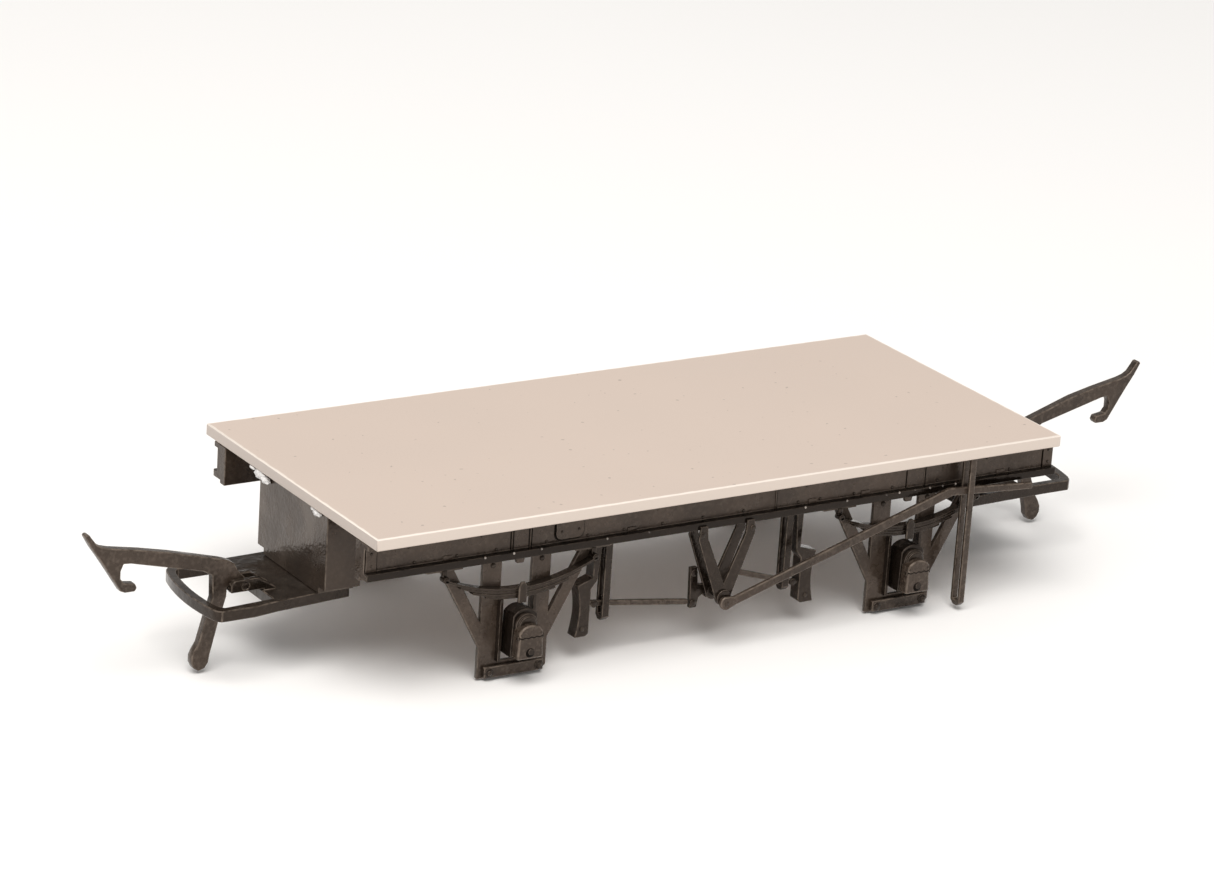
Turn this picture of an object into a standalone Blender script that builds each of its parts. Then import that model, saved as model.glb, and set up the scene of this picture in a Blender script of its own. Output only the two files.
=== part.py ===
"""Model flat car underframe, 4 mm scale: a floor plate on a two-axle wagon underframe.

X runs along the wagon, Y across it and Z up. The origin is under the middle of the wagon,
on the plane that the axleguards stand on. Sizes below are in millimetres.
"""

import math

import bmesh
import bpy
from mathutils import Vector

MM = 0.001
GAP = 0.03                      # air left between pieces that touch

# Whole wagon
FLOOR_TOP = 15.4                # floor surface above the axleguards' feet
FLOOR_THICK = 1.05
FLOOR_LENGTH = 69.9
FLOOR_WIDTH = 30.8
FLOOR_SHIFT = -0.49             # the floor sits off centre, flush with one end
FLOOR_EDGE = 0.08               # rounding of the floor's edges
WHEELBASE = 40.0

# Solebars: channels open to the outside
SOLEBAR_LENGTH = 70.8
SOLEBAR_INNER = 11.75           # inner face of the web, from the centreline
WEB_THICK = 1.5
FLANGE_REACH = 0.6
FLANGE_THICK = 0.5
SOLEBAR_FOOT = 11.09            # underside of the lower flange
RIB_WIDTH = 0.85                # thicker inner part of the web, which reaches lower
RIB_FOOT = 10.8
BUMP_HALF = 0.55                # rubber stop over each spring
BUMP_DROP = 0.85
SHOE_INNER = 5.5                # spring shoe, measured from its axle
SHOE_OUTER = 9.8
SHOE_DROP = 0.65
SHOE_FACE = 12.75

# Axleguards, springs and axleboxes
GUARD_FACE = 12.4               # outer face, from the centreline
GUARD_THICK = 0.45
GUARD_HALF = 3.4
LEG_WIDTH = 1.85
STAY_FOOT = 2.9                 # height where the stays leave the plate
STAY_SPREAD = 7.7               # half width between the stays at the solebar
STAY_WIDTH = 1.3
GUARD_SILL = 1.4
KEEP_HALF = 2.9
KEEP_HEIGHT = 1.0
KEEP_THICK = 0.4
SPRING_HALF = 7.5
SPRING_RISE = 1.75
SPRING_LOW = 8.2                # top of the top leaf at mid span
LEAF_THICK = 0.24
LEAF_STEPS = (7.5, 5.9, 4.7, 3.4)
SPRING_DEPTH = 0.85
BUCKLE_HALF = 0.42
BUCKLE_DEPTH = 0.3
BOX_HALF = 1.3
BOX_FOOT = 2.3
BOX_TOP = 6.6
BOX_FACE = 14.2
COVER_HALF = 1.25
COVER_TOP = 5.5
COVER_FOOT = 2.45
COVER_FACE = 15.35

# Brake gear
SHAFT_HEIGHT = 4.6
SHAFT_RADIUS = 0.35
SHAFT_INNER = 11.7               # inner end of the stub the brake gear hangs on
HANGER_FACE = 14.15             # outer face of the outer V hanger
HANGER_BACK = 12.6              # outer face of the inner V hanger
HANGER_THICK = 0.27
HANGER_HALF = 2.9
HANGER_TOP = 11.45
HANGER_BACK_TOP = 10.75
HANGER_BEND = 1.2
STRIP = 0.87
BOSS_RADIUS = 0.75
LEVER_Y = (-14.85, -14.45)
LEVER_DEPTH = 0.76
LEVER_BEND = 23.0
LEVER_BEND_HEIGHT = 11.35
LEVER_END = 32.2
LEVER_END_HEIGHT = 10.75
LEVER_GUARD_X = 25.15
LEVER_GUARD_WIDTH = 0.62
LEVER_GUARD_FOOT = 0.3
LEVER_GUARD_FACE = 15.2
ROD_Y = (-12.08, -11.65)
ROD_DEPTH = 0.5
STRAP_WIDTH = 0.7
STRAP_Y = (-12.42, -11.3)
STRAP_WALL = 0.3
STRAP_FOOT = 3.4

# Couplings
BLOCK_OUTER = 34.95             # end face of the coupling block
BLOCK_LENGTH = 3.4
BLOCK_HALF = 6.1
BLOCK_FOOT = 7.4
PAD_HALF = 5.0
PAD_FOOT = 6.83
LOOP_HALF = 5.5
LOOP_FRONT = 45.1
LOOP_CROWN = -0.8               # the bow's crown is on the hook's side
LOOP_BOW = 0.024                # fall per square millimetre away from the crown
LOOP_CORNER = 0.35
LOOP_BAR = 0.8
LOOP_TOP = 6.8
LOOP_DEPTH = 1.0
DECK_FRONT = 38.9
SHANK_NEAR = 4.35               # the shank leans, so its two edges differ where it enters the block
SHANK_FAR = 5.85
COUPLER_DROP = {"left": 0.0, "right": 0.3}       # the two couplings sit at slightly different heights
HOOK_SIDE = 1.4                 # the hook stands beside the centreline
HOOK_HALF = 0.42
HOOK_SLOT = 0.5
PIVOT_OUT = 40.5
PIVOT_HEIGHT = 7.45
PIVOT_RADIUS = 0.3
PIVOT_PLAY = 0.04
TAIL_RADIUS = 0.55
LUG_BACK = 37.6
LUG_FRONT = 41.85
LUG_HALF = 1.1
LUG_TOP = 8.0
LUG_FOOT = 6.95
STOP_BACK = 41.45               # bar between the lugs that the hook's leg rests on
STOP_TOP = 7.3
HOOK_SET = {"left": (0.0, 0.0, 0.0), "right": (1.05, 0.75, 0.85)}   # head out, head up, foot out

# Finishes: linear colour, roughness
BLACK = ((0.040, 0.033, 0.028), 0.38)
BEIGE = ((0.720, 0.600, 0.500), 0.55)


def clear_scene():
    """Remove every object, so the script starts from an empty scene."""
    for item in list(bpy.data.objects):
        bpy.data.objects.remove(item, do_unlink=True)


def finish_material(name, colour, roughness):
    """One Principled material for one sub-part."""
    material = bpy.data.materials.new(name)
    material.use_nodes = True
    shader = material.node_tree.nodes["Principled BSDF"]
    shader.inputs["Base Color"].default_value = (*colour, 1.0)
    shader.inputs["Roughness"].default_value = roughness
    shader.inputs["Metallic"].default_value = 0.0
    return material


def add_object(name, bm, finish, origin=(0.0, 0.0, 0.0)):
    """Turn a bmesh in millimetres into an object whose origin is the given point."""
    bmesh.ops.recalc_face_normals(bm, faces=bm.faces)
    if bm.calc_volume(signed=True) < 0:
        bmesh.ops.reverse_faces(bm, faces=bm.faces)
    for vert in bm.verts:
        vert.co = (vert.co - Vector(origin)) * MM
    mesh = bpy.data.meshes.new(name)
    bm.to_mesh(mesh)
    bm.free()
    item = bpy.data.objects.new(name, mesh)
    item.location = Vector(origin) * MM
    bpy.context.scene.collection.objects.link(item)
    if finish:
        mesh.materials.append(finish_material(name + "_finish", *finish))
    return item


def point_on(plane, a, b, depth):
    """A point of an outline: XZ outlines go along Y, XY along Z and YZ along X."""
    return {"XZ": (a, depth, b), "XY": (a, b, depth), "YZ": (depth, a, b)}[plane]


def prism(outline, span, plane="XZ", holes=(), turn=1):
    """Extrude a closed outline, with holes, over a span. turn=-1 is the opposite side."""
    bm = bmesh.new()
    edges = []
    for loop in (outline, *holes):
        verts = [bm.verts.new(point_on(plane, a, b, span[0])) for a, b in loop]
        edges += [bm.edges.new((verts[i - 1], verts[i])) for i in range(len(verts))]
    filled = bmesh.ops.triangle_fill(bm, use_beauty=True, edges=edges)["geom"]
    faces = [part for part in filled if isinstance(part, bmesh.types.BMFace)]
    grown = bmesh.ops.extrude_face_region(bm, geom=faces)["geom"]
    moved = [part for part in grown if isinstance(part, bmesh.types.BMVert)]
    shift = Vector(point_on(plane, 0.0, 0.0, span[1] - span[0]))
    bmesh.ops.translate(bm, verts=moved, vec=shift)
    for vert in bm.verts:
        vert.co.x *= turn
        vert.co.y *= turn
    return bm


def rectangle(a_low, a_high, b_low, b_high):
    return [(a_low, b_low), (a_high, b_low), (a_high, b_high), (a_low, b_high)]


def arc(centre, radius, start, end, steps):
    """Points of an arc, both ends included, angles in degrees."""
    points = []
    for i in range(steps + 1):
        angle = math.radians(start + (end - start) * i / steps)
        points.append((centre[0] + radius * math.cos(angle), centre[1] + radius * math.sin(angle)))
    return points


def bar_outline(start, end, width):
    """Outline of a straight bar with half-round ends."""
    heading = math.degrees(math.atan2(end[1] - start[1], end[0] - start[0]))
    half = width / 2
    return arc(end, half, heading - 90, heading + 90, 6) + arc(start, half, heading + 90, heading + 270, 6)


def circle(centre, radius, steps=16):
    return arc(centre, radius, 0, 360 - 360 / steps, steps - 1)


def combine(item, operation, cutter_name, bm):
    """Join or cut an object with a hidden helper, through an exact Boolean modifier."""
    helper = add_object(cutter_name, bm, None)
    helper.hide_render = True
    helper.display_type = "WIRE"
    modifier = item.modifiers.new(cutter_name, "BOOLEAN")
    modifier.operation = operation
    modifier.solver = "EXACT"
    modifier.object = helper


def smooth(item, angle=35.0):
    """Shade round faces smooth and keep the corners sharp."""
    item.data.shade_smooth()
    item.data.set_sharp_from_angle(angle=math.radians(angle))


def end_word(x):
    return "left" if x < 0 else "right"


# --- floor -------------------------------------------------------------------------------

def make_floor():
    half = FLOOR_LENGTH / 2
    outline = rectangle(FLOOR_SHIFT - half, FLOOR_SHIFT + half, -FLOOR_WIDTH / 2, FLOOR_WIDTH / 2)
    bm = prism(outline, (FLOOR_TOP - FLOOR_THICK, FLOOR_TOP), "XY")
    bmesh.ops.dissolve_limit(bm, angle_limit=0.01, verts=bm.verts, edges=bm.edges)
    bmesh.ops.bevel(bm, geom=bm.edges[:], offset=FLOOR_EDGE, segments=1, affect="EDGES")
    add_object("floor_plate", bm, BEIGE)


# --- one side of the underframe ----------------------------------------------------------

def make_solebar(side, turn):
    """Channel with spring shoes and bump stops under it."""
    inner = -SOLEBAR_INNER
    face = inner - WEB_THICK
    lip = face - FLANGE_REACH
    top = FLOOR_TOP - FLOOR_THICK - GAP
    low = SOLEBAR_FOOT
    section = [(inner, RIB_FOOT), (inner, top), (lip, top), (lip, top - FLANGE_THICK),
               (face, top - FLANGE_THICK), (face, low + FLANGE_THICK + 0.15),
               (lip, low + FLANGE_THICK), (lip, low), (inner - RIB_WIDTH, low),
               (inner - RIB_WIDTH, RIB_FOOT)]
    half = SOLEBAR_LENGTH / 2
    item = add_object("solebar_" + side, prism(section, (-half, half), "YZ", turn=turn), BLACK)
    for axle in (-WHEELBASE / 2, WHEELBASE / 2):
        for way in (-1, 1):
            inner_x = axle + way * SHOE_INNER
            outer_x = axle + way * SHOE_OUTER
            foot = low - SHOE_DROP
            shoe = [(inner_x, low + 0.2), (inner_x, foot), (outer_x - way * 0.9, foot),
                    (outer_x, foot + 0.35), (outer_x, low + 0.2)]
            name = "shoe_{}_{}_{}".format(side, end_word(axle), end_word(way))
            combine(item, "UNION", name, prism(shoe, (-SHOE_FACE, -SHOE_FACE + 0.3), turn=turn))
        stop = [(axle - BUMP_HALF, low + 0.2), (axle - BUMP_HALF * 0.6, low - BUMP_DROP),
                (axle + BUMP_HALF * 0.6, low - BUMP_DROP), (axle + BUMP_HALF, low + 0.2)]
        name = "bump_stop_{}_{}".format(side, end_word(axle))
        combine(item, "UNION", name, prism(stop, (-SHOE_FACE - 0.15, -SHOE_FACE + 0.3), turn=turn))


def guard_outline(axle):
    """Axleguard: a plate with two legs and two stays, and the opening for the axlebox."""
    stay_top = RIB_FOOT - GAP
    outer = [(-GUARD_HALF, 0.0), (GUARD_HALF - 0.45, 0.0), (GUARD_HALF, 0.35),
             (GUARD_HALF, STAY_FOOT), (STAY_SPREAD, stay_top), (-STAY_SPREAD, stay_top),
             (-GUARD_HALF, STAY_FOOT)]
    outer = [(axle + a, b) for a, b in outer]
    slope = (STAY_SPREAD - GUARD_HALF) / (stay_top - STAY_FOOT)
    leg = GUARD_HALF - 0.05
    # the web left above the openings ties the legs and stays together
    tie = stay_top - 0.28
    inner_stay = STAY_SPREAD - STAY_WIDTH - slope * 0.28
    crotch = stay_top - (STAY_SPREAD - STAY_WIDTH - leg) / slope
    triangle = [(leg, tie), (leg, crotch), (inner_stay, tie)]
    opening_half = leg - LEG_WIDTH
    opening = [(-opening_half, tie), (-opening_half, GUARD_SILL + 0.35),
               (-opening_half + 0.35, GUARD_SILL), (opening_half - 0.35, GUARD_SILL),
               (opening_half, GUARD_SILL + 0.35), (opening_half, tie)]
    holes = [[(axle + a, b) for a, b in opening],
             [(axle + a, b) for a, b in triangle],
             [(axle - a, b) for a, b in triangle]]
    return outer, holes


def leaf_line(reach, drop, steps):
    """The curve of a leaf from -reach to +reach, a drop below the top of the spring."""
    points = []
    for i in range(steps + 1):
        x = -reach + 2 * reach * i / steps
        points.append((x, SPRING_LOW - drop + SPRING_RISE * (x / SPRING_HALF) ** 2))
    return points


def spring_outline(axle):
    """A stack of leaves, each shorter than the one above it."""
    outline = leaf_line(SPRING_HALF, 0.0, 14)
    for rank, reach in enumerate(LEAF_STEPS):
        low = leaf_line(reach, (rank + 1) * LEAF_THICK, 10)
        following = LEAF_STEPS[rank + 1] if rank + 1 < len(LEAF_STEPS) else 0.0
        outline += [p for p in reversed(low) if p[0] >= following - 0.01]
        if following:
            outline.append(leaf_line(following, (rank + 1) * LEAF_THICK, 1)[1])
    mirrored = []
    for rank in reversed(range(len(LEAF_STEPS))):
        reach = LEAF_STEPS[rank]
        following = LEAF_STEPS[rank + 1] if rank + 1 < len(LEAF_STEPS) else 0.0
        low = leaf_line(reach, (rank + 1) * LEAF_THICK, 10)
        if following:
            mirrored.append(leaf_line(following, (rank + 1) * LEAF_THICK, 1)[0])
        mirrored += [p for p in reversed(low) if p[0] < -following + 0.01]
    seen = []
    for point in outline + mirrored:
        if all(math.dist(point, other) > 0.02 for other in seen):
            seen.append(point)
    return [(axle + a, b) for a, b in seen]


def box_outline(axle, half, foot, top):
    """A block with square feet and a rounded head."""
    crown = arc((axle, top - half * 0.8), half, 25, 155, 8)
    lower = top - half * 0.8
    head = [(a, lower + (b - lower) * 0.8) for a, b in crown]
    return [(axle - half, foot), (axle + half, foot)] + head


def make_axle_group(side, turn, axle):
    """Everything that carries one axle on one side."""
    place = "{}_{}".format(side, end_word(axle * turn))
    face = -GUARD_FACE
    outer, holes = guard_outline(axle)
    add_object("axleguard_" + place, prism(outer, (face, face + GUARD_THICK), holes=holes, turn=turn), BLACK)

    keep = rectangle(axle - KEEP_HALF, axle + KEEP_HALF, 0.12, 0.12 + KEEP_HEIGHT)
    keep_face = face - GAP - KEEP_THICK
    add_object("keep_strip_" + place, prism(keep, (keep_face, face - GAP), turn=turn), BLACK)

    spring_back = face - GAP
    spring = prism(spring_outline(axle), (spring_back - SPRING_DEPTH, spring_back), turn=turn)
    smooth(add_object("leaf_spring_" + place, spring, BLACK), 20.0)

    buckle_low = SPRING_LOW - len(LEAF_STEPS) * LEAF_THICK - 0.35
    buckle = [(axle - BUCKLE_HALF, buckle_low), (axle + BUCKLE_HALF, buckle_low),
              (axle + BUCKLE_HALF, SPRING_LOW + 0.2), (axle + 0.18, SPRING_LOW + 0.6),
              (axle - 0.18, SPRING_LOW + 0.6), (axle - BUCKLE_HALF, SPRING_LOW + 0.2)]
    buckle_back = spring_back - SPRING_DEPTH - GAP
    add_object("spring_buckle_" + place, prism(buckle, (buckle_back - BUCKLE_DEPTH, buckle_back), turn=turn), BLACK)

    body = prism(box_outline(axle, BOX_HALF, BOX_FOOT, BOX_TOP), (-BOX_FACE, face - GAP), turn=turn)
    smooth(add_object("axlebox_" + place, body, BLACK))
    cover = prism(box_outline(axle, COVER_HALF, COVER_FOOT, COVER_TOP), (-COVER_FACE, -BOX_FACE - GAP), turn=turn)
    smooth(add_object("axlebox_cover_" + place, cover, BLACK))


# --- brake gear --------------------------------------------------------------------------

def hanger_outline():
    """V hanger: two strips that meet in an eye on the brake shaft."""
    eye = (0.0, SHAFT_HEIGHT)
    half = HANGER_HALF
    bend = HANGER_TOP - HANGER_BEND
    lower = arc(eye, BOSS_RADIUS, 205, 335, 8)
    right = [(half, bend), (half - 0.15, HANGER_TOP), (half - STRIP, HANGER_TOP), (half - STRIP - 0.1, bend)]
    left = [(-a, b) for a, b in reversed(right)]
    return lower + right + [(0.0, SHAFT_HEIGHT + 1.25)] + left


def make_hangers(side, turn):
    for name, face, top in (("outer", HANGER_FACE, HANGER_TOP), ("inner", HANGER_BACK, HANGER_BACK_TOP)):
        outline = [(a, min(b, top)) for a, b in hanger_outline()]
        hole = circle((0.0, SHAFT_HEIGHT), SHAFT_RADIUS + GAP, 12)
        bm = prism(outline, (-face, -face + HANGER_THICK), holes=[hole], turn=turn)
        add_object("v_hanger_{}_{}".format(name, side), bm, BLACK)
    stub = prism(circle((0.0, SHAFT_HEIGHT), SHAFT_RADIUS, 12), (LEVER_Y[1] + GAP, -SHAFT_INNER), turn=turn)
    smooth(add_object("brake_pivot_" + side, stub, BLACK))


def make_tumbler(side, turn):
    """Arm on the brake shaft that pulls the two push rods."""
    outline = [(-2.0, 3.1), (-1.3, 3.1), (-1.15, 4.0)]
    outline += arc((0.0, SHAFT_HEIGHT), 0.8, 205, 340, 8)
    outline += [(1.6, 5.55), (1.75, 6.3), (1.1, 6.45), (0.0, 5.4), (-0.8, 5.15), (-1.3, 5.3), (-1.45, 6.9),
                (-2.15, 6.9)]
    hole = circle((0.0, SHAFT_HEIGHT), SHAFT_RADIUS + GAP, 12)
    bm = prism(outline, (ROD_Y[0], ROD_Y[1]), holes=[hole], turn=turn)
    add_object("tumbler_" + side, bm, BLACK)


def make_push_rods(side, turn):
    """A rod from each end of the tumbler to its brake shoe."""
    left = bar_outline((-12.1, 5.1), (-2.4, 3.75), ROD_DEPTH)
    right = bar_outline((2.15, 5.95), (8.95, 3.9), ROD_DEPTH)
    for outline, way in ((left, -1), (right, 1)):
        name = "push_rod_{}_{}".format(side, end_word(way * turn))
        smooth(add_object(name, prism(outline, (ROD_Y[0], ROD_Y[1]), turn=turn), BLACK))


def shoe_outline(tread, back, top_x, low):
    """Hanger and brake block in one: tread and back are the block's two faces."""
    way = 1 if tread > back else -1
    face = [(tread - way * 0.35 * abs(math.sin(math.pi * i / 8)), low + 4.8 * i / 8) for i in range(9)]
    hanger = [(back - way * 0.1, low + 5.3), (top_x + way * 0.38, RIB_FOOT - GAP),
              (top_x - way * 0.38, RIB_FOOT - GAP), (back - way * 0.55, low + 5.0), (back, low + 4.3)]
    return face + hanger + [(back, low + 0.25), (back + way * 0.3, low)]


def make_shoes(side, turn):
    left = shoe_outline(-13.7, -12.3, -11.72, 2.15)
    right = shoe_outline(10.95, 9.35, 8.95, 1.9)
    for outline, way in ((left, -1), (right, 1)):
        name = "brake_shoe_{}_{}".format(side, end_word(way * turn))
        add_object(name, prism(outline, (ROD_Y[0] - 0.1, ROD_Y[1] + 0.75), turn=turn), BLACK)


def loop_section(low_y, high_y, foot, top, wall):
    """A strap bent to a long closed loop: its outline and its slot."""
    radius = 0.35
    outline = [(low_y, top), (low_y, foot + radius), (low_y + radius, foot),
               (high_y - radius, foot), (high_y, foot + radius), (high_y, top)]
    slot = rectangle(low_y + wall, high_y - wall, foot + wall * 1.6, top - wall)
    return outline, slot


def make_safety_straps(side, turn):
    """Loops that catch the push rods."""
    for centre, way in ((-10.85, -1), (7.75, 1)):
        outline, slot = loop_section(*STRAP_Y, STRAP_FOOT, RIB_FOOT - GAP, STRAP_WALL)
        span = (centre - STRAP_WIDTH / 2, centre + STRAP_WIDTH / 2)
        name = "safety_strap_{}_{}".format(side, end_word(way * turn))
        add_object(name, prism(outline, span, "YZ", holes=[slot], turn=turn), BLACK)


def lever_outline():
    """Hand lever: eye on the shaft, a long rise, then the level grip."""
    half = LEVER_DEPTH / 2
    rise = math.atan2(LEVER_BEND_HEIGHT - SHAFT_HEIGHT + 0.5, LEVER_BEND)
    start = (0.0, SHAFT_HEIGHT - 0.5)
    normal = (-math.sin(rise) * half, math.cos(rise) * half)
    upper = [(LEVER_BEND, LEVER_BEND_HEIGHT + half), (LEVER_END, LEVER_END_HEIGHT + half * 0.8)]
    lower = [(LEVER_END, LEVER_END_HEIGHT - half * 0.8), (LEVER_BEND + 0.4, LEVER_BEND_HEIGHT - half)]
    eye = arc((start[0], start[1] + 0.15), 0.62, 110, 290, 8)
    foot = [(start[0] + 0.9 - normal[0], start[1] + 0.9 * math.tan(rise) - normal[1])]
    head = [(start[0] + 0.9 + normal[0], start[1] + 0.9 * math.tan(rise) + normal[1])]
    return head + upper + lower + foot + list(reversed(eye))


def make_lever(side, turn):
    add_object("brake_lever_" + side, prism(lever_outline(), LEVER_Y, turn=turn), BLACK)
    outline, slot = loop_section(-LEVER_GUARD_FACE, -SOLEBAR_INNER - WEB_THICK - FLANGE_REACH - GAP,
                                 LEVER_GUARD_FOOT, FLOOR_TOP - FLOOR_THICK - GAP, STRAP_WALL)
    span = (LEVER_GUARD_X - LEVER_GUARD_WIDTH / 2, LEVER_GUARD_X + LEVER_GUARD_WIDTH / 2)
    add_object("lever_guard_" + side, prism(outline, span, "YZ", holes=[slot], turn=turn), BLACK)


# --- couplings ---------------------------------------------------------------------------

def make_block(end, turn):
    """Block under the floor that the coupling is fixed to, with its packing step below."""
    top = FLOOR_TOP - FLOOR_THICK - GAP
    section = [(-PAD_HALF, PAD_FOOT), (PAD_HALF, PAD_FOOT), (PAD_HALF, BLOCK_FOOT), (BLOCK_HALF, BLOCK_FOOT),
               (BLOCK_HALF, top), (-BLOCK_HALF, top), (-BLOCK_HALF, BLOCK_FOOT), (-PAD_HALF, BLOCK_FOOT)]
    span = (-BLOCK_OUTER, -BLOCK_OUTER + BLOCK_LENGTH)
    add_object("coupling_block_" + end, prism(section, span, "YZ", turn=turn), BLACK)


def loop_front(half, front, steps=12):
    """Front of the bumper loop: a shallow bow with rounded corners, from -Y to +Y."""
    points = []
    for i in range(steps + 1):
        y = -half + 2 * half * i / steps
        points.append((-(front - LOOP_BOW * (y - LOOP_CROWN) ** 2), y))
    first, last = points[0], points[-1]
    points[0] = (first[0], -half + LOOP_CORNER)
    points[-1] = (last[0], half - LOOP_CORNER)
    return [(first[0] + LOOP_CORNER, -half)] + points + [(last[0] + LOOP_CORNER, half)]


def make_coupler(end, turn):
    """Bumper loop and shank, with two lugs on top that hold the hook's pin."""
    inner = -BLOCK_OUTER + BLOCK_LENGTH
    top = LOOP_TOP - COUPLER_DROP[end]
    shoulder = -DECK_FRONT - 2.2
    outline = [(shoulder, LOOP_HALF), (inner, SHANK_FAR), (inner, -SHANK_NEAR),
               (-DECK_FRONT, -LOOP_HALF + 0.4), (shoulder, -LOOP_HALF)] + loop_front(LOOP_HALF, LOOP_FRONT)
    opening_half = LOOP_HALF - LOOP_BAR
    opening = [(-DECK_FRONT, opening_half), (-DECK_FRONT, -opening_half + 0.35)]
    opening += loop_front(opening_half, LOOP_FRONT - LOOP_BAR)
    bm = prism(outline, (top - LOOP_DEPTH, top), "XY", holes=[opening], turn=turn)
    item = add_object("coupler_body_" + end, bm, BLACK)
    low = top - 0.15
    side = -HOOK_SIDE
    lug = [(-LUG_BACK, low), (-LUG_BACK, top + 0.2), (-DECK_FRONT - 0.4, LUG_TOP), (-LUG_FRONT + 0.3, LUG_TOP),
           (-LUG_FRONT, LUG_TOP - 0.3), (-LUG_FRONT, LUG_FOOT), (-DECK_FRONT + 0.1, LUG_FOOT),
           (-DECK_FRONT + 0.3, low)]
    for name, way in (("outer", -1), ("inner", 1)):
        span = sorted((side + way * HOOK_SLOT, side + way * LUG_HALF))
        combine(item, "UNION", "lug_{}_{}".format(name, end), prism(lug, span, turn=turn))
    stop = rectangle(-LUG_FRONT, -STOP_BACK, LUG_FOOT + 0.02, STOP_TOP)
    span = (side - LUG_HALF + 0.1, side + LUG_HALF - 0.1)
    combine(item, "UNION", "stop_" + end, prism(stop, span, turn=turn))
    span = (side - LUG_HALF - 0.5, side + LUG_HALF + 0.5)
    bore = prism(circle((-PIVOT_OUT, PIVOT_HEIGHT), PIVOT_RADIUS + GAP, 12), span, turn=turn)
    combine(item, "DIFFERENCE", "pin_bore_" + end, bore)


def hook_outline(head_out, head_up, foot_out):
    """Side view of the hook, pointing along +X: beak, barb, arm, tail and drop leg.

    The first values move the head out and up from the tail, the last moves the foot out.
    """
    beak = [(54.1, 12.85), (54.6, 13.5), (54.8, 13.8), (55.05, 13.85), (55.2, 13.65), (54.6, 12.6),
            (53.8, 11.45), (53.05, 10.3), (52.2, 8.95), (51.85, 8.4), (51.4, 8.2)]
    barb = [(50.5, 8.2), (50.32, 8.5), (50.5, 8.9), (51.5, 9.05), (51.85, 9.5), (51.85, 10.2), (51.6, 10.78)]
    arm_low = [(50.9, 10.72), (44.2, 9.05), (43.3, 8.55)]
    root = [(40.95, 8.7), (41.25, 9.3), (41.75, 9.66)]
    arm_top = [(42.6, 9.95), (47.4, 11.22), (50.0, 11.8), (52.9, 12.35), (53.6, 12.55)]
    leg_front = [(43.25, 6.5), (43.75, 4.9), (44.4, 2.55), (44.75, 2.0)]
    foot = [(45.0, 1.45), (45.0, 0.85), (44.75, 0.35), (44.3, 0.06), (43.75, 0.25), (43.42, 0.75), (43.32, 1.4)]
    leg_back = [(42.63, 4.16), (42.13, 5.8), (41.93, 6.5), (41.9, 7.35)]
    tail = arc((PIVOT_OUT, PIVOT_HEIGHT), TAIL_RADIUS, 350, 140, 10)

    def set_head(points):
        shares = [min(1.0, max(0.0, (a - 41.9) / 2.5)) for a, _ in points]
        return [(a + head_out * k, b + head_up * k) for (a, b), k in zip(points, shares)]

    def set_leg(points):
        return [(a + foot_out * min(1.0, max(0.0, (7.0 - b) / 3.0)), b) for a, b in points]

    return (set_head(beak + barb + arm_low) + set_leg(leg_front + foot + leg_back) + tail + root
            + set_head(arm_top))


def make_hook(end, turn):
    """Hook on its pin; the object's origin is on the pin's axis."""
    outline = [(-a, b) for a, b in hook_outline(*HOOK_SET[end])]
    hole = circle((-PIVOT_OUT, PIVOT_HEIGHT), PIVOT_RADIUS + PIVOT_PLAY, 12)
    span = (-HOOK_SIDE - HOOK_HALF, -HOOK_SIDE + HOOK_HALF)
    origin = (-PIVOT_OUT * turn, -HOOK_SIDE * turn, PIVOT_HEIGHT)
    item = add_object("hook_" + end, prism(outline, span, holes=[hole], turn=turn), BLACK, origin)
    smooth(item, 30.0)
    reach = LUG_HALF - 0.06
    pin = prism(circle((-PIVOT_OUT, PIVOT_HEIGHT), PIVOT_RADIUS, 12), (-HOOK_SIDE - reach, -HOOK_SIDE + reach),
                turn=turn)
    smooth(add_object("hook_pin_" + end, pin, BLACK))


def main():
    clear_scene()
    make_floor()
    for side, turn in (("near", 1), ("far", -1)):
        make_solebar(side, turn)
        for axle in (-WHEELBASE / 2, WHEELBASE / 2):
            make_axle_group(side, turn, axle)
        make_hangers(side, turn)
        make_tumbler(side, turn)
        make_push_rods(side, turn)
        make_shoes(side, turn)
        make_safety_straps(side, turn)
        make_lever(side, turn)
    for end, turn in (("left", 1), ("right", -1)):
        make_block(end, turn)
        make_coupler(end, turn)
        make_hook(end, turn)


main()
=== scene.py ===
"""Looks of a model flat car: a beige floor plate on a black moulded underframe with hook couplings.

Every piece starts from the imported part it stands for, gets soft moulded edges and its own surface, and
keeps that part's place. Shapes are drawn in millimetres, and `solid_piece` and `heads` turn them into metres.
The settings are in metres.
"""

import math

import bmesh
import bpy
from bpy.props import FloatProperty, FloatVectorProperty, IntProperty, PointerProperty
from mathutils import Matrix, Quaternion, Vector


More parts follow.
